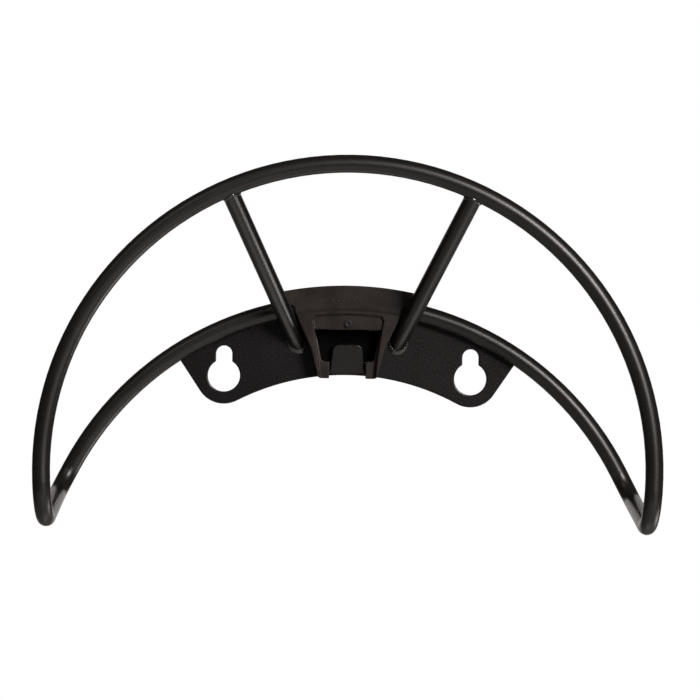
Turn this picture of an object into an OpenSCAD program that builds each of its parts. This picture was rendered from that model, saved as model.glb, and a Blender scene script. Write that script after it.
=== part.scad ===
// Wall rack: one round steel bar bent into a hoop, whose rear arc is welded to a wall plate with two
// keyholes, two struts that brace the front arch, and a moulded cover with a pocket over the plate's middle.
// The wall is the plane y = 0 and the rack stands out towards -Y. The origin lies on the wall, midway
// between the round parts of the two keyholes.

/* [Bars] */
// Diameter of the round bar of the hoop and the struts
bar_d = 10; // [9:0.5:10.5]
// Radius of the front arch, at the middle of the bar
front_r = 168.6; // [166:0.2:172]
// Height of the front arch's centre
front_centre_z = -50.4; // [-52:0.2:-48]
// Distance from the wall to the middle of the front arch's bar
reach = 105; // [100:1:112]
// Radius of the rear arc, at the middle of the bar
rear_r = 178; // [177:0.2:179]
// Height of the rear arc's centre
rear_centre_z = -135.6; // [-135.6:0.1:-135.2]
// Angle of the front arch's ends, from the horizontal
front_end_angle = -3; // [-5:0.5:0]
// Angle of the rear arc's ends, from the horizontal
rear_end_angle = 27.5; // [27:0.5:29]
// Length from the end of the front arch to the corner of its elbow
front_elbow_leg = 24; // [20:1:26]
// Length from the end of the rear arc to the corner of its elbow
rear_elbow_leg = 15.5; // [14:0.5:17]

/* [Struts] */
// Distance of each strut's foot from the middle
strut_foot_x = 29.6; // [29.2:0.1:30.4]
// Height of each strut's foot
strut_foot_z = 21.2; // [20.4:0.1:21.6]
// Angle on the front arch of each strut's top, from the horizontal
strut_top_angle = 66.1; // [65:0.1:67]
// Height of the weld bead around a strut
bead = 1.4; // [1:0.1:1.6]

/* [Wall plate] */
// Thickness of the wall plate
plate_t = 3; // [2.5:0.5:3.5]
// Radius of the plate's lower edge
plate_in_r = 136.8; // [136:0.1:138]
// Distance between the keyholes
keyhole_spacing = 142.6; // [141:0.2:144]
// Diameter of the round part of a keyhole
keyhole_d = 18.6; // [17:0.2:19]
// Width of a keyhole's slot
keyhole_slot_w = 9.3; // [8:0.1:9.6]
// Height from a keyhole's round part to the middle of its slot's end
keyhole_slot_rise = 12.6; // [11:0.1:13]
// Half width of the window behind the pocket, at its lower edge
window_half_w = 17; // [16:0.1:17.2]
// Amount by which each side of the window widens towards its upper edge
window_flare = 1.8; // [1:0.1:2]
// Height of the window's lower edge
window_bottom_z = 9; // [8.5:0.1:9.5]
// Height of the window's upper edge
window_top_z = 27.5; // [27:0.1:28]
// Height of the top of the tongue
tongue_top_z = 20.2; // [18.6:0.1:20.6]
// Half width of the tongue at its root
tongue_half_w = 10.2; // [9.8:0.1:10.2]
// Forward lean of the tongue
tongue_lean = 15; // [14:1:18]

/* [Cover] */
// Distance from the wall to the front of the cover's upper band
cover_front = 17.5; // [17:0.25:18]
// Radius of the cover's upper edge
cover_out_r = 188.4; // [187.4:0.1:189]
// Radius of the step below the upper band
cover_step_r = 174.8; // [174.2:0.1:175.4]
// Radius of the upper edge of the pocket
pocket_top_r = 171.9; // [171.5:0.1:172.2]
// Half angle of the cover's upper band
cover_half_angle = 12.2; // [12:0.1:12.6]
// Depth of the step from the upper band to the face
cover_step = 0.5; // [0.25:0.05:0.75]
// Distance from the wall to the face of the recessed band
recess_front = 15; // [14:0.25:15.5]
// Height of the cover screw
screw_z = 30.9; // [30.6:0.1:31.2]

/* [Hidden] */
$fn = 96;

bar_r = bar_d / 2;
bar_y = -(plate_t + bar_r);
hole_x = keyhole_spacing / 2;
hole_polar_r = norm([hole_x, rear_centre_z]);
hole_angle = atan2(hole_x, -rear_centre_z);
corner_r = hole_polar_r - plate_in_r;
edge_half_angle = hole_angle + asin(corner_r / hole_polar_r);
gap = 0.25;
strut_gap = 0.9;
// Larger than the rack: cutting shapes reach this far
far = 400;
// Overlap of pieces that join in one solid
overlap = 0.1;
// The side legs are drawn a hair thinner and run a little into their elbows, so the hoop is one solid
leg_r = bar_r - 0.02;
leg_overlap = 0.4;

screw_d = 2.5;
screw_gap = 0.1;
screw_head_d = 4.2;
screw_head_h = 1.6;
socket_af = 1.6;
socket_depth = 1;
// Distance from the wall to the back of the pocket's panel and to the screw's end
wall_gap = 0.1;
screw_end_gap = 0.3;

// Point on an arc about a centre on the middle plane, at depth y
function on_arc(r, centre_z, angle, y) = [r * cos(angle), y, centre_z + r * sin(angle)];
// Direction of travel clockwise along an arc
function clockwise(angle) = [sin(angle), 0, -cos(angle)];
function unit(v) = v / norm(v);

front_end = on_arc(front_r, front_centre_z, front_end_angle, -reach);
rear_end = on_arc(rear_r, rear_centre_z, rear_end_angle, bar_y);
front_corner = front_end + front_elbow_leg * clockwise(front_end_angle);
rear_corner = rear_end + rear_elbow_leg * clockwise(rear_end_angle);
leg_way = unit(rear_corner - front_corner);

strut_foot = [strut_foot_x, -plate_t, strut_foot_z];
strut_top = on_arc(front_r, front_centre_z, strut_top_angle, -reach);
strut_way = unit(strut_top - strut_foot);
// How far a strut stops short of the middle of the hoop's bar
strut_short = 0.45 * bar_r;
// How far a strut is drawn on past its foot, where the plate's face cuts it
strut_run_on = 12;

// The tongue is bent up out of the plate, so its root lies a little above the lower edge
tongue_root_z = 2.4;
tongue_back = 0.6;
tongue_taper = 1.4;
tongue_round = 4;

// Stitches of weld behind the rear arc, as angles from the vertical
stitch_angles = [-29, -19, 19, 29];
stitch_half_angle = 3;
stitch_r = 1.6;
stitch_out = 1.2;
stitch_y = 2;

// Half outline of the cover's face: it follows the strut up into the band, and the leg down to the foot
face_waist = [21.2, 16.5];
face_shoulder = face_waist + 24 * [strut_way[0] / strut_way[2], 1];
face_foot = [17.6, -0.7];
foot_round = 2.5;
foot_inner_x = 10.5;
foot_top_z = 9;
foot_front = 13;
// Half outline of the band's lower side, which runs on behind the strut only where the strut is clear of it
band_inner = [29.9, 30];
band_corner = [30.9, 40];
band_end = [40, 44];
// Half outline of the pocket's front; it runs out below the feet, so the rims of the legs reach that far
pocket_shoulder = [20.4, 32.9];
pocket_waist = [18.1, 18];
pocket_foot = [16.8, foot_top_z];
pocket_end = [15.9, -5];
pocket_corner = 2.2;
// The pocket narrows by a ledge on each side, level with the front of the feet
ledge = 1.4;
ledge_round = 2.4;

// Stands a flat outline, drawn in X and Z, between two distances from the wall
module standing(back, front) {
    translate([0, -back, 0])
        rotate([90, 0, 0])
            linear_extrude(front - back)
                children();
}

// Turns a profile, drawn as radius and depth, about the axis through an arc's centre
module swept(centre_z, from, to) {
    translate([0, 0, centre_z])
        rotate([90, 0, 0])
            rotate([0, 0, from])
                rotate_extrude(angle = to - from, $fn = 360)
                    children();
}

module both_sides() {
    children();
    mirror([1, 0, 0]) children();
}

// Round bar between two points
module rod(from, to, r) {
    way = unit(to - from);
    translate(from)
        rotate([0, acos(way[2]), atan2(way[1], way[0])])
            cylinder(r = r, h = norm(to - from));
}

// Arc of bar at a distance from the wall
module arc_bar(r, centre_z, y, from, to, bar) {
    swept(centre_z, from, to)
        translate([r, -y])
            circle(r = bar);
}

// Bend of bar that starts "leg" before a corner and turns from one direction into another
module elbow(corner, way_in, way_out, leg) {
    turn = acos(way_in * way_out);
    bend_r = leg / tan(turn / 2);
    inward = unit(way_out - (way_in * way_out) * way_in);
    x = -inward;
    z = cross(x, way_in);
    c = corner - leg * way_in + bend_r * inward;
    multmatrix([
        [x[0], way_in[0], z[0], c[0]],
        [x[1], way_in[1], z[1], c[1]],
        [x[2], way_in[2], z[2], c[2]],
        [0, 0, 0, 1]
    ])
        rotate_extrude(angle = turn)
            translate([bend_r, 0])
                circle(r = bar_r);
}

module hoop_bar() {
    color("#1d1b1a") {
        arc_bar(front_r, front_centre_z, -reach, front_end_angle, 180 - front_end_angle, bar_r);
        arc_bar(rear_r, rear_centre_z, bar_y, rear_end_angle, 180 - rear_end_angle, bar_r);
        both_sides() {
            elbow(front_corner, clockwise(front_end_angle), leg_way, front_elbow_leg);
            elbow(rear_corner, leg_way, -clockwise(rear_end_angle), rear_elbow_leg);
            rod(
                front_corner + (front_elbow_leg - leg_overlap) * leg_way,
                rear_corner - (rear_elbow_leg - leg_overlap) * leg_way,
                leg_r
            );
        }
    }
}

// Flat sector between two radii about the rear arc's centre, up to a half angle from the vertical
module sector(r_in, r_out, half_angle) {
    translate([0, rear_centre_z])
        intersection() {
            difference() {
                circle(r = r_out, $fn = 360);
                circle(r = r_in, $fn = 360);
            }
            polygon([
                [0, 0],
                [far * sin(half_angle), far * cos(half_angle)],
                [0, 2 * far],
                [-far * sin(half_angle), far * cos(half_angle)]
            ]);
        }
}

module keyhole() {
    circle(d = keyhole_d);
    translate([0, keyhole_slot_rise])
        circle(d = keyhole_slot_w);
    translate([-keyhole_slot_w / 2, 0])
        square([keyhole_slot_w, keyhole_slot_rise]);
}

// Window behind the pocket, wider at the top
module window_outline() {
    top_half_w = window_half_w + window_flare;
    polygon([
        [-window_half_w, window_bottom_z],
        [window_half_w, window_bottom_z],
        [top_half_w, window_top_z],
        [-top_half_w, window_top_z]
    ]);
}

// Tongue with round upper corners, drawn from its root
module tongue_outline() {
    tip_half_w = tongue_half_w - tongue_taper;
    round_x = tip_half_w - tongue_round;
    round_z = tongue_top_z - tongue_root_z - tongue_round;
    polygon([
        [-tongue_half_w, 0],
        [tongue_half_w, 0],
        [tip_half_w, round_z],
        [-tip_half_w, round_z]
    ]);
    for (side = [-1, 1])
        translate([side * round_x, round_z])
            circle(r = tongue_round);
    translate([-round_x, round_z - overlap])
        square([2 * round_x, tongue_round + overlap]);
}

module wall_plate() {
    color("#2b2a2b") {
        difference() {
            standing(0, plate_t)
                union() {
                    sector(plate_in_r, rear_r, hole_angle);
                    sector(hole_polar_r * cos(edge_half_angle - hole_angle), rear_r, edge_half_angle);
                    for (side = [-1, 1])
                        translate([side * hole_x, 0])
                            circle(r = corner_r);
                }
            standing(-1, plate_t + 1)
                union() {
                    for (side = [-1, 1])
                        translate([side * hole_x, 0])
                            keyhole();
                    window_outline();
                    translate([0, screw_z])
                        circle(d = screw_d);
                }
        }
        translate([0, 0, tongue_root_z])
            rotate([tongue_lean, 0, 0])
                standing(tongue_back, plate_t)
                    tongue_outline();
    }
}

// A strut with its axis at full length, before its ends are fitted
module strut_core(r) {
    rod(strut_foot - strut_run_on * strut_way, strut_top - strut_short * strut_way, r);
}

// Room taken by the wall and the plate
module wall_side() {
    translate([-far / 2, -plate_t, -far / 2])
        cube([far, far, far]);
}

module strut() {
    color("#201e1d")
        difference() {
            strut_core(bar_r);
            wall_side();
            arc_bar(front_r, front_centre_z, -reach, 0, 180, bar_r);
        }
}

module strut_right() {
    strut();
}

module strut_left() {
    mirror([1, 0, 0]) strut();
}

// Collar of weld where a strut meets the hoop
module strut_top_weld() {
    below = 0.6 * bead;
    proud = 0.2;
    color("#252322")
        difference() {
            translate(strut_top - (strut_short + below) * strut_way)
                rotate([0, acos(strut_way[2]), atan2(strut_way[1], strut_way[0])])
                    rotate_extrude()
                        translate([bar_r + proud, 0])
                            circle(r = bead);
            rod(strut_foot, strut_top, bar_r);
            arc_bar(front_r, front_centre_z, -reach, 0, 180, bar_r);
        }
}

module strut_top_weld_right() {
    strut_top_weld();
}

module strut_top_weld_left() {
    mirror([1, 0, 0]) strut_top_weld();
}

// Collar of weld on the plate around a strut's foot
module strut_foot_weld() {
    half = strut_run_on * strut_way;
    color("#252322")
        difference() {
            intersection() {
                rod(strut_foot - half, strut_foot + half, bar_r + bead);
                translate([0, -plate_t - bead, -far / 4])
                    cube([far / 4, bead, far / 2]);
            }
            strut_core(bar_r);
            cover_body(gap);
        }
}

module strut_foot_weld_right() {
    strut_foot_weld();
}

module strut_foot_weld_left() {
    mirror([1, 0, 0]) strut_foot_weld();
}

// Stitches of weld in the corner between the plate's upper edge and the back of the hoop's bar
module plate_weld_beads() {
    color("#252322")
        for (middle = stitch_angles)
            swept(rear_centre_z, 90 + middle - stitch_half_angle, 90 + middle + stitch_half_angle)
                difference() {
                    translate([rear_r + stitch_out, stitch_y])
                        circle(r = stitch_r);
                    translate([rear_r, -bar_y])
                        circle(r = bar_r);
                    translate([rear_r - bar_r, -1])
                        square([bar_r, plate_t + 2]);
                }
}

// Outline of the cover's face, grown by a margin
module face_outline(margin) {
    shoulder = face_shoulder + [margin, 0];
    waist = face_waist + [margin, 0];
    foot = face_foot + [margin, -margin];
    polygon([
        [-shoulder[0], shoulder[1]],
        [-waist[0], waist[1]],
        [-foot[0], foot[1] + foot_round],
        [-foot[0] + foot_round, foot[1]],
        [foot[0] - foot_round, foot[1]],
        [foot[0], foot[1] + foot_round],
        [waist[0], waist[1]],
        [shoulder[0], shoulder[1]]
    ]);
    for (side = [-1, 1])
        translate([side * (foot[0] - foot_round), foot[1] + foot_round])
            circle(r = foot_round);
}

// Opening of the pocket at its front: wide at its chamfered shoulders, narrow between the legs' rims
module pocket_outline() {
    intersection() {
        translate([0, rear_centre_z])
            circle(r = pocket_top_r, $fn = 360);
        polygon([
            [-pocket_shoulder[0], pocket_shoulder[1]],
            [-pocket_waist[0], pocket_waist[1]],
            [-pocket_foot[0], pocket_foot[1]],
            [-pocket_end[0], pocket_end[1]],
            [pocket_end[0], pocket_end[1]],
            [pocket_foot[0], pocket_foot[1]],
            [pocket_waist[0], pocket_waist[1]],
            [pocket_shoulder[0], pocket_shoulder[1]],
            [pocket_shoulder[0] - pocket_corner, pocket_shoulder[1] + 2 * pocket_corner],
            [-pocket_shoulder[0] + pocket_corner, pocket_shoulder[1] + 2 * pocket_corner]
        ]);
    }
}

// Opening of the pocket behind its ledges, with round lower corners and a mouth between the feet
module pocket_inner_outline() {
    floor_half_w = pocket_foot[0] - ledge;
    waist_half_w = pocket_waist[0] - ledge;
    top_half_w = pocket_shoulder[0] - ledge;
    polygon([
        [-floor_half_w, foot_top_z + ledge_round],
        [floor_half_w, foot_top_z + ledge_round],
        [waist_half_w, pocket_waist[1]],
        [top_half_w, window_top_z],
        [-top_half_w, window_top_z],
        [-waist_half_w, pocket_waist[1]]
    ]);
    for (side = [-1, 1])
        translate([side * (floor_half_w - ledge_round), foot_top_z + ledge_round])
            circle(r = ledge_round);
    translate([-(floor_half_w - ledge_round), foot_top_z])
        square([2 * (floor_half_w - ledge_round), ledge_round + 1]);
    translate([-foot_inner_x, pocket_end[1]])
        square([2 * foot_inner_x, foot_top_z - pocket_end[1] + 1]);
}

// Outline that keeps the band off the struts
module band_outline() {
    top_z = cover_out_r + rear_centre_z + 1;
    polygon([
        [-band_end[0], top_z],
        [-band_end[0], band_end[1]],
        [-band_corner[0], band_corner[1]],
        [-band_inner[0], band_inner[1]],
        [band_inner[0], band_inner[1]],
        [band_corner[0], band_corner[1]],
        [band_end[0], band_end[1]],
        [band_end[0], top_z]
    ]);
}

// Solid outside of the cover: the band over the rear arc and the face below it
module cover_body(margin) {
    intersection() {
        swept(rear_centre_z, 90 - cover_half_angle, 90 + cover_half_angle)
            translate([cover_step_r, plate_t])
                square([cover_out_r - cover_step_r, cover_front - plate_t]);
        standing(0, cover_front + 1)
            band_outline();
    }
    standing(plate_t, cover_front - cover_step)
        intersection() {
            face_outline(margin);
            translate([0, rear_centre_z])
                circle(r = cover_step_r + 0.5, $fn = 360);
        }
}

module pocket_cover() {
    color("#26221f")
        difference() {
            union() {
                difference() {
                    cover_body(0);
                    standing(foot_front, far / 2)
                        pocket_outline();
                    standing(0, foot_front + 1)
                        pocket_inner_outline();
                }
                standing(plate_t, recess_front)
                    intersection() {
                        pocket_outline();
                        translate([-far / 2, window_top_z])
                            square([far, far]);
                    }
            }
            // Channel for the rear arc's bar, open towards the plate
            swept(rear_centre_z, 60, 120)
                union() {
                    translate([rear_r, -bar_y])
                        circle(r = bar_r + gap);
                    translate([rear_r - bar_r - gap, 0])
                        square([bar_d + 2 * gap, plate_t + bar_r]);
                }
            both_sides() strut_core(bar_r + strut_gap);
            rod([0, -cover_front - 1, screw_z], [0, 0, screw_z], screw_d / 2 + screw_gap);
        }
}

module pocket_back() {
    rib_half_w = 2.6;
    rib_z = 21.6;
    floor_front = 1;
    color("#121110") {
        standing(wall_gap, floor_front)
            window_outline();
        standing(floor_front - overlap, plate_t - gap)
            translate([-rib_half_w, rib_z])
                square([2 * rib_half_w, 1]);
    }
}

module cover_screw() {
    under_head = [0, -recess_front, screw_z];
    head_top = under_head - [0, screw_head_h, 0];
    color("#3a3938")
        difference() {
            union() {
                rod(under_head, [0, -screw_end_gap, screw_z], screw_d / 2);
                rod(head_top, under_head, screw_head_d / 2);
            }
            translate(head_top + [0, socket_depth, 0])
                rotate([90, 0, 0])
                    cylinder(d = socket_af / cos(30), h = 2 * socket_depth, $fn = 6);
        }
}

hoop_bar();
wall_plate();
strut_left();
strut_right();
pocket_cover();
pocket_back();
cover_screw();
plate_weld_beads();
strut_top_weld_left();
strut_top_weld_right();
strut_foot_weld_left();
strut_foot_weld_right();
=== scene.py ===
"""Looks of a round-bar wall rack: powder coat, weld beads, a moulded cover, studio light and camera"""

import math
import random

import bmesh
import bpy
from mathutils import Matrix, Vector


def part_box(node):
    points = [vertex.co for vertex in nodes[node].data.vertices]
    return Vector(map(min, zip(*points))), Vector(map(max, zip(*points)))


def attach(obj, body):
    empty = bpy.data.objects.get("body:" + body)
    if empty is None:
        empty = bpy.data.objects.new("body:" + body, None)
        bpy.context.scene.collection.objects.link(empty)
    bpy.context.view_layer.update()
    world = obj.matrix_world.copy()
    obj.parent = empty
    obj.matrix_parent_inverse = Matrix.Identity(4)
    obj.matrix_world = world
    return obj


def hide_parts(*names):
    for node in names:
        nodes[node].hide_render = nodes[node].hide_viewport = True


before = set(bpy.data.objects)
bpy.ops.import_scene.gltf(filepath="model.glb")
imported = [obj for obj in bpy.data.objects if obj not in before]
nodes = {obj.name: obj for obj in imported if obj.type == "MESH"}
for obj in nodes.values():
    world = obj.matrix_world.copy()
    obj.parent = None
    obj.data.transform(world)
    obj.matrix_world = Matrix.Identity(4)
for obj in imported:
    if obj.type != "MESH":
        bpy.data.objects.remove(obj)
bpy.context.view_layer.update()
scene = bpy.context.scene

MM = 0.001
BAR_R = 5.0 * MM
PLATE_FRONT = -3.0 * MM
FRONT_R = 168.6 * MM
REAR_R = 178.0 * MM
REAR_CENTRE_Z = -135.6 * MM
STRUT_FOOT = Vector((29.6 * MM, PLATE_FRONT, 21.2 * MM))
STRUT_TOP_ANGLE = math.radians(66.1)
WELD_STEPS = 96

LIGHT_TINT = (1.0, 0.93, 0.9)
FLOOR_Z = -1.0

# The front arch's middle line and the right strut's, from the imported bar
bar_low, bar_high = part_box("hoop_bar")
FRONT_Y = bar_low.y + BAR_R
FRONT_CENTRE_Z = bar_high.z - BAR_R - FRONT_R
STRUT_TOP = Vector((
    FRONT_R * math.cos(STRUT_TOP_ANGLE),
    FRONT_Y,
    FRONT_CENTRE_Z + FRONT_R * math.sin(STRUT_TOP_ANGLE),
))
STRUT_WAY = (STRUT_TOP - STRUT_FOOT).normalized()


# ---------------------------------------------------------------- materials

class Shader:
    """A Principled material under construction, with short calls for the nodes that feed it"""

    def __init__(self, name, roughness, specular=0.5):
        self.material = bpy.data.materials.new(name)
        self.material.use_nodes = True
        self.tree = self.material.node_tree
        self.surface = self.tree.nodes["Principled BSDF"]
        self.surface.inputs["Roughness"].default_value = roughness
        self.surface.inputs["Specular IOR Level"].default_value = specular
        self.place = self.tree.nodes.new("ShaderNodeTexCoord").outputs["Object"]

    def node(self, kind, **values):
        made = self.tree.nodes.new(kind)
        for key, value in values.items():
            made.inputs[key.replace("_", " ")].default_value = value
        return made

    def link(self, output, target):
        self.tree.links.new(output, target)

    def noise(self, size, detail=3.0, roughness=0.55):
        """Noise whose features are about size metres across"""
        made = self.node("ShaderNodeTexNoise", Scale=1.0 / size, Detail=detail, Roughness=roughness)
        self.link(self.place, made.inputs["Vector"])
        return made.outputs["Fac"]

    def cells(self, size):
        """Random grains about size metres across: the distance to each grain and its own random colour"""
        made = self.node("ShaderNodeTexVoronoi", Scale=1.0 / size)
        self.link(self.place, made.inputs["Vector"])
        return made.outputs["Distance"], made.outputs["Color"]

    def span(self, value, low, high, out_low=0.0, out_high=1.0):
        """Maps a value between two limits, held at both ends"""
        made = self.tree.nodes.new("ShaderNodeMapRange")
        self.link(value, made.inputs["Value"])
        for key, number in (("From Min", low), ("From Max", high), ("To Min", out_low), ("To Max", out_high)):
            made.inputs[key].default_value = number
        return made.outputs["Result"]

    def times(self, a, b):
        made = self.tree.nodes.new("ShaderNodeMath")
        made.operation = "MULTIPLY"
        self.link(a, made.inputs[0])
        self.link(b, made.inputs[1])
        return made.outputs["Value"]

    def mix(self, amount, first, second):
        """Colour between two, each a colour or another node's output"""
        made = self.tree.nodes.new("ShaderNodeMix")
        made.data_type = "RGBA"
        self.link(amount, made.inputs["Factor"])
        for key, colour in (("A", first), ("B", second)):
            socket = next(s for s in made.inputs if s.name == key and s.type == "RGBA")
            if isinstance(colour, tuple):
                socket.default_value = (*colour, 1.0)
            else:
                self.link(colour, socket)
        return next(s for s in made.outputs if s.type == "RGBA")

    def colour(self, output):
        self.link(output, self.surface.inputs["Base Color"])

    def roughness(self, output):
        self.link(output, self.surface.inputs["Roughness"])

    def bumps(self, *layers):
        """Stacks bumps, each a height output, its depth in metres and its strength"""
        normal = None
        for height, depth, strength in layers:
            made = self.node("ShaderNodeBump", Strength=strength, Distance=depth)
            self.link(height, made.inputs["Height"])
            if normal is not None:
                self.link(normal, made.inputs["Normal"])
            normal = made.outputs["Normal"]
        self.link(normal, self.surface.inputs["Normal"])


def sparkle(shader, size, share):
    """Small scattered grains: 1 on the given share of the cells, near their middles, and 0 elsewhere"""
    distance, colour = shader.cells(size)
    chosen = shader.span(colour, 1.0 - share, 1.0 - share + 0.02)
    middle = shader.span(distance, 0.15, 0.4, 1.0, 0.0)
    return shader.times(chosen, middle)


def powder_coat(name, dark, light, gloss, grain, specks, speck_colour, rough=0.3, specular=0.5):
    """Black powder coat: an orange-peel skin with fine grain, slow changes of tone and scattered specks"""
    shader = Shader(name, gloss, specular)
    tone = shader.span(shader.noise(16 * MM, 4.0), 0.35, 0.65)
    base = shader.mix(tone, dark, light)
    dots = sparkle(shader, grain * 1.6, specks)
    shader.colour(shader.mix(dots, base, speck_colour))
    fine = shader.noise(grain, 3.0, 0.6)
    shader.roughness(shader.span(fine, 0.3, 0.7, gloss - 0.06, gloss + 0.09))
    peel = shader.noise(1.5 * MM, 2.0, 0.4)
    shader.bumps((peel, 0.05 * MM, 0.35), (fine, 0.05 * MM, rough), (dots, 0.08 * MM, 0.5))
    return shader.material


def moulded_plastic(name, dark, light, gloss, specular):
    """Matte plastic from a spark-eroded mould, with a slight haze of handling"""
    shader = Shader(name, gloss, specular)
    haze = shader.span(shader.noise(11 * MM, 5.0, 0.6), 0.38, 0.66)
    shader.colour(shader.mix(haze, dark, light))
    erosion = shader.noise(0.45 * MM, 4.0, 0.65)
    shader.roughness(shader.span(haze, 0.0, 1.0, gloss - 0.05, gloss + 0.05))
    shader.bumps((erosion, 0.06 * MM, 0.4))
    return shader.material


def blackened_steel(name):
    """Blackened steel, rubbed brighter in places"""
    shader = Shader(name, 0.32)
    worn = shader.span(shader.noise(0.8 * MM, 4.0, 0.7), 0.45, 0.7)
    shader.colour(shader.mix(worn, (0.004, 0.0037, 0.0034), (0.02, 0.019, 0.018)))
    shader.roughness(shader.span(worn, 0.0, 1.0, 0.36, 0.24))
    shader.bumps((shader.noise(0.25 * MM), 0.02 * MM, 0.3))
    return shader.material


BAR_COAT = powder_coat(
    "bar_powder_coat", (0.0065, 0.0058, 0.0054), (0.0098, 0.0088, 0.0082),
    gloss=0.33, grain=0.5 * MM, specks=0.03, speck_colour=(0.03, 0.028, 0.026),
)
STRUT_COAT = powder_coat(
    "strut_powder_coat", (0.0035, 0.0032, 0.003), (0.006, 0.0054, 0.005),
    gloss=0.26, grain=0.5 * MM, specks=0.03, speck_colour=(0.03, 0.028, 0.026),
)
PLATE_COAT = powder_coat(
    "plate_powder_coat", (0.003, 0.0028, 0.0029), (0.0048, 0.0045, 0.0047),
    gloss=0.26, grain=0.75 * MM, specks=0.1, speck_colour=(0.04, 0.039, 0.039), rough=0.4,
)
WELD_COAT = powder_coat(
    "weld_powder_coat", (0.008, 0.0073, 0.007), (0.014, 0.0128, 0.012),
    gloss=0.17, grain=0.4 * MM, specks=0.05, speck_colour=(0.035, 0.033, 0.03), specular=1.0,
)
COVER_PLASTIC = moulded_plastic(
    "cover_plastic", (0.0095, 0.0055, 0.0042), (0.0135, 0.0078, 0.0058), 0.4, specular=0.32,
)
# Pocket back: near-black, barely reflective plastic, far darker than the cover. This is painted shade for the
# shadow deep in the cover's cavity, not the plastic's own colour.
BACK_PLASTIC_PAINTED_SHADE = moulded_plastic(
    "back_plastic", (0.0004, 0.0004, 0.0003), (0.0008, 0.0007, 0.0006), 0.7, specular=0.05,
)
SCREW_STEEL = blackened_steel("screw_steel")


# ---------------------------------------------------------------- mesh helpers

def dress(piece, material):
    piece.data.materials.clear()
    piece.data.materials.append(material)


def add_piece(name, mesh, material, replaced=None):
    """Puts a finished mesh on the rack as a piece of its own"""
    mesh.polygons.foreach_set("use_smooth", [True] * len(mesh.polygons))
    piece = bpy.data.objects.new(name, mesh)
    scene.collection.objects.link(piece)
    dress(piece, material)
    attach(piece, "root")
    if replaced:
        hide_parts(replaced)


def loft(name, loops, closed):
    """Skin over a row of loops, which meets itself if closed and is capped at both ends if not"""
    bm = bmesh.new()
    rows = [[bm.verts.new(point) for point in loop] for loop in loops]
    pairs = list(zip(rows, rows[1:]))
    if closed:
        pairs.append((rows[-1], rows[0]))
    for a, b in pairs:
        for i in range(len(a)):
            j = (i + 1) % len(a)
            bm.faces.new((a[i], a[j], b[j], b[i]))
    if not closed:
        bm.faces.new(rows[0])
        bm.faces.new(rows[-1])
    bmesh.ops.recalc_face_normals(bm, faces=bm.faces)
    mesh = bpy.data.meshes.new(name)
    bm.to_mesh(mesh)
    bm.free()
    return mesh


def round_edges(piece, grid, passes):
    """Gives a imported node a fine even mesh, relaxed so that its edges and inner corners become round"""
    weld = piece.modifiers.new("weld", "WELD")
    weld.merge_threshold = 0.002 * MM
    even = piece.modifiers.new("even", "REMESH")
    even.mode = "VOXEL"
    even.voxel_size = grid
    even.use_smooth_shade = True
    relax = piece.modifiers.new("relax", "SMOOTH")
    relax.factor = 0.5
    relax.iterations = passes


# ---------------------------------------------------------------- welds

def across(way):
    """Two directions square to way and to each other"""
    side = way.cross(Vector((0, 1, 0))).normalized()
    return side, way.cross(side).normalized()


def ripple(angle, count, depth, seed):
    """Uneven waves round a weld bead, as a factor about 1"""
    rng = random.Random(seed)
    shifts = [rng.uniform(0, math.tau) for _ in range(3)]
    slow = 0.5 * math.sin(2 * angle + shifts[0]) + 0.5 * math.sin(3 * angle + shifts[1])
    return 1 + depth * (0.6 * abs(math.sin(count * angle / 2 + shifts[2])) + 0.5 * slow)


def mirror_x(point, side):
    return Vector((side * point.x, point.y, point.z))


def foot_weld(name, side, node):
    """Fillet of weld between a strut's foot and the plate, thick below the toe and thin on top"""
    profile_steps = 7
    throat = 0.6 * MM
    toe_throat = 1.1 * MM
    fullness = 0.8
    u, v = across(STRUT_WAY)
    sunk = 0.4 * MM
    loops = []
    for i in range(WELD_STEPS):
        t = math.tau * i / WELD_STEPS
        out = math.cos(t) * u + math.sin(t) * v
        rise = -(BAR_R * out.y) / STRUT_WAY.y
        meet = STRUT_FOOT + BAR_R * out + rise * STRUT_WAY
        flat = Vector((out.x, 0, out.z)).normalized()
        toe = 0.5 - 0.5 * flat.z
        size = (throat + toe_throat * toe ** 1.5) * ripple(t, 22, 0.16, seed=7 + side)
        low = meet + size * flat
        high = meet + size * STRUT_WAY
        hump = meet + fullness * size * (flat + STRUT_WAY)
        loop = []
        for k in range(profile_steps + 1):
            f = k / profile_steps
            loop.append((1 - f) ** 2 * low + 2 * f * (1 - f) * hump + f ** 2 * high)
        loop.append(high - sunk * out)
        loop.append(meet - sunk * out + Vector((0, sunk, 0)))
        loop.append(low + Vector((0, sunk, 0)))
        loops.append([mirror_x(p, side) for p in loop])
    mesh = loft(name, loops, closed=True)
    add_piece(name, mesh, WELD_COAT, node)


def off_arch(point):
    """Distance from a point to the middle line of the front arch"""
    ring = math.hypot(point.x, point.z - FRONT_CENTRE_Z) - FRONT_R
    return math.hypot(ring, point.y - FRONT_Y)


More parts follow.
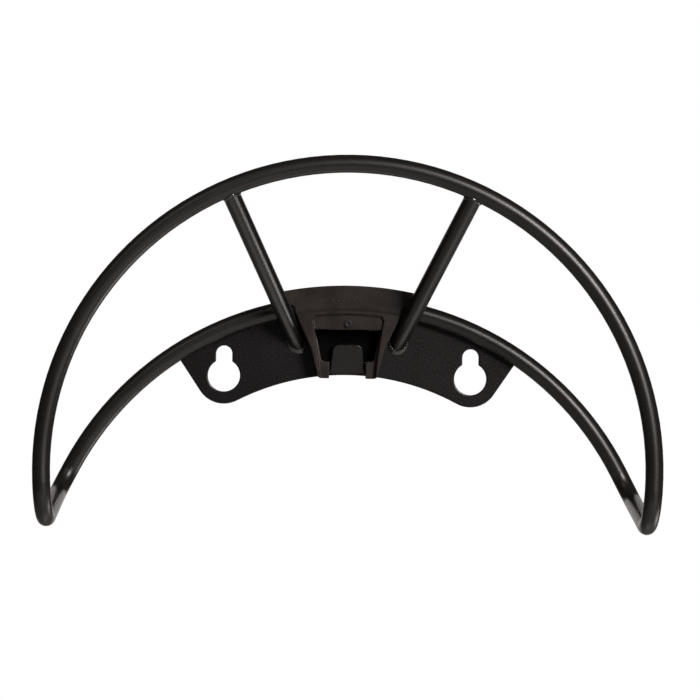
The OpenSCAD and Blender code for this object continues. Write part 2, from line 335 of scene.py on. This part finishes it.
def top_weld(name, side, node):
    """Bead of weld round the saddle where a strut meets the front arch"""
    profile_steps = 12
    bead_r = 1.05 * MM
    halvings = 30
    u, v = across(STRUT_WAY)
    centres = []
    for i in range(WELD_STEPS):
        t = math.tau * i / WELD_STEPS
        out = math.cos(t) * u + math.sin(t) * v
        start = STRUT_TOP + 0.96 * BAR_R * out
        near, away = 0.0, 3 * BAR_R
        for _ in range(halvings):
            half = (near + away) / 2
            if off_arch(start - half * STRUT_WAY) < BAR_R:
                near = half
            else:
                away = half
        centres.append(start - near * STRUT_WAY)
    loops = []
    for i in range(WELD_STEPS):
        along = (centres[(i + 1) % WELD_STEPS] - centres[i - 1]).normalized()
        inward = (STRUT_TOP - 0.6 * BAR_R * STRUT_WAY - centres[i]).normalized()
        a = along.cross(inward).normalized()
        b = along.cross(a).normalized()
        size = bead_r * ripple(math.tau * i / WELD_STEPS, 20, 0.28, seed=3 + side)
        loop = []
        for k in range(profile_steps):
            p = math.tau * k / profile_steps
            loop.append(mirror_x(centres[i] + size * (math.cos(p) * a + math.sin(p) * b), side))
        loops.append(loop)
    mesh = loft(name, loops, closed=True)
    add_piece(name, mesh, WELD_COAT, node)


def plate_welds(name, node):
    """Rippled stitches in the corner between the plate's upper edge and the back of the rear arc's bar"""
    middles = (-29, -19, 19, 29)
    half_angle = 3.0
    steps = 60
    profile_steps = 12
    radius = REAR_R + 1.2 * MM
    depth = -2.0 * MM
    size = 1.6 * MM
    bm = bmesh.new()
    for number, middle in enumerate(middles):
        loops = []
        for i in range(steps + 1):
            f = i / steps
            angle = math.radians(90 - middle + half_angle * (1 - 2 * f))
            taper = math.sqrt(max(0.03, 1 - (2 * f - 1) ** 6))
            wave = 1 - 0.2 * abs(math.sin(9 * math.pi * f + number))
            out = Vector((math.cos(angle), 0, math.sin(angle)))
            centre = radius * out + Vector((0, depth, REAR_CENTRE_Z))
            loop = []
            for k in range(profile_steps):
                p = math.tau * k / profile_steps
                swing = math.cos(p) * out + math.sin(p) * Vector((0, 1, 0))
                loop.append(centre + size * taper * wave * swing)
            loops.append(loop)
        bm.from_mesh(loft(name, loops, closed=False))
    mesh = bpy.data.meshes.new(name)
    bm.to_mesh(mesh)
    bm.free()
    add_piece(name, mesh, WELD_COAT, node)


# ---------------------------------------------------------------- pieces

def finish_packed_nodes():
    for node, material in (("hoop_bar", BAR_COAT), ("strut_left", STRUT_COAT), ("strut_right", STRUT_COAT)):
        dress(nodes[node], material)
    for node, material, slot, grid, passes in (
        ("wall_plate", PLATE_COAT, "plate_coat", 0.35 * MM, 4),
        ("pocket_cover", COVER_PLASTIC, "cover_plastic", 0.25 * MM, 12),
        ("pocket_back", BACK_PLASTIC_PAINTED_SHADE, "back_plastic", 0.2 * MM, 2),
        ("cover_screw", SCREW_STEEL, "screw_steel", 0.1 * MM, 3),
    ):
        round_edges(nodes[node], grid, passes)
        dress(nodes[node], material)


def grip_pips():
    """Row of small round pips on the cover's upper band, along its curve"""
    count = 7
    pitch = math.radians(1.0)
    pip_r = 0.75 * MM
    flatness = 0.45
    radius = REAR_R + 1.6 * MM
    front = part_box("pocket_cover")[0].y + 0.02 * MM
    bm = bmesh.new()
    for i in range(count):
        angle = math.pi / 2 + (i - (count - 1) / 2) * pitch
        centre = Vector((radius * math.cos(angle), front, REAR_CENTRE_Z + radius * math.sin(angle)))
        made = bmesh.ops.create_uvsphere(bm, u_segments=20, v_segments=12, radius=pip_r)
        for vert in made["verts"]:
            vert.co.y *= flatness
            vert.co += centre
    mesh = bpy.data.meshes.new("grip_pips")
    bm.to_mesh(mesh)
    bm.free()
    add_piece("grip_pips", mesh, COVER_PLASTIC)


# ---------------------------------------------------------------- studio

def set_world():
    """White to the camera; to the rack, a dim room with a bright backdrop behind it"""
    room, backdrop = 0.07, 1.35
    world = bpy.data.worlds.new("studio")
    scene.world = world
    world.use_nodes = True
    tree = world.node_tree
    tree.nodes.clear()
    output = tree.nodes.new("ShaderNodeOutputWorld")
    seen = tree.nodes.new("ShaderNodeBackground")
    seen.inputs["Color"].default_value = (1, 1, 1, 1)
    lit = tree.nodes.new("ShaderNodeBackground")
    lit.inputs["Color"].default_value = (0.8, 0.74, 0.72, 1)
    pick = tree.nodes.new("ShaderNodeMixShader")
    path = tree.nodes.new("ShaderNodeLightPath")
    place = tree.nodes.new("ShaderNodeTexCoord")
    split = tree.nodes.new("ShaderNodeSeparateXYZ")
    glow = tree.nodes.new("ShaderNodeMapRange")
    glow.interpolation_type = "SMOOTHSTEP"
    for key, number in (("From Min", 0.87), ("From Max", 0.93), ("To Min", room), ("To Max", backdrop)):
        glow.inputs[key].default_value = number
    tree.links.new(place.outputs["Generated"], split.inputs["Vector"])
    tree.links.new(split.outputs["Y"], glow.inputs["Value"])
    tree.links.new(glow.outputs["Result"], lit.inputs["Strength"])
    tree.links.new(path.outputs["Is Camera Ray"], pick.inputs["Fac"])
    tree.links.new(lit.outputs["Background"], pick.inputs[1])
    tree.links.new(seen.outputs["Background"], pick.inputs[2])
    tree.links.new(pick.outputs["Shader"], output.inputs["Surface"])


def add_softbox(name, direction, distance, width, height, power):
    """Softbox that faces the rack from a direction"""
    data = bpy.data.lights.new(name, "AREA")
    data.shape = "RECTANGLE"
    data.size = width
    data.size_y = height
    data.energy = power
    data.color = LIGHT_TINT
    box = bpy.data.objects.new(name, data)
    way = Vector(direction).normalized()
    box.location = way * distance
    box.rotation_mode = "QUATERNION"
    box.rotation_quaternion = way.to_track_quat("Z", "Y")
    box.visible_camera = False
    scene.collection.objects.link(box)


def add_floor():
    """Pale studio floor, well below the rack"""
    bm = bmesh.new()
    bmesh.ops.create_grid(bm, x_segments=8, y_segments=8, size=2.5)
    mesh = bpy.data.meshes.new("floor")
    bm.to_mesh(mesh)
    bm.free()
    floor = bpy.data.objects.new("floor", mesh)
    floor.location.z = FLOOR_Z
    scene.collection.objects.link(floor)
    shader = Shader("floor_paint", 0.7)
    shader.colour(shader.mix(shader.noise(0.3), (0.78, 0.78, 0.77), (0.82, 0.82, 0.81)))
    dress(floor, shader.material)


def add_camera():
    """Long lens at the height of the keyholes, a little to the left, with a slight roll"""
    distance = 1.92
    roll = math.radians(0.9)
    data = bpy.data.cameras.new("camera")
    data.sensor_width = 36
    data.lens = 179.7
    data.clip_end = 50
    camera = bpy.data.objects.new("camera", data)
    camera.location = (-27 * MM, FRONT_Y - distance, 15.8 * MM)
    target = Vector((0, FRONT_Y, camera.location.z))
    way = target - camera.location
    camera.rotation_euler = (math.radians(90), 0, -math.atan2(way.x, way.y))
    camera.rotation_euler.rotate_axis("Z", roll)
    scene.collection.objects.link(camera)
    scene.camera = camera


add_camera()
set_world()
add_floor()
add_softbox("key", (0.42, -0.82, 0.34), 2.2, 0.65, 0.85, 46)
add_softbox("low", (0.759, 0.214, -0.614), 1.35, 0.45, 0.45, 3.2)
add_softbox("under", (0.05, 0.2, -0.97), 0.9, 0.5, 0.3, 0.35)
add_softbox("left_fill", (-0.45, -0.62, 0.64), 2.0, 0.8, 0.8, 2)
add_softbox("right_fill", (0.55, -0.75, -0.30), 2.0, 0.7, 0.7, 1.5)
scene.view_settings.view_transform = "Standard"

finish_packed_nodes()
for side, hand in ((-1, "left"), (1, "right")):
    foot_weld("foot_weld_" + hand, side, "strut_foot_weld_" + hand)
    top_weld("top_weld_" + hand, side, "strut_top_weld_" + hand)
plate_welds("plate_welds", "plate_weld_beads")
grip_pips()
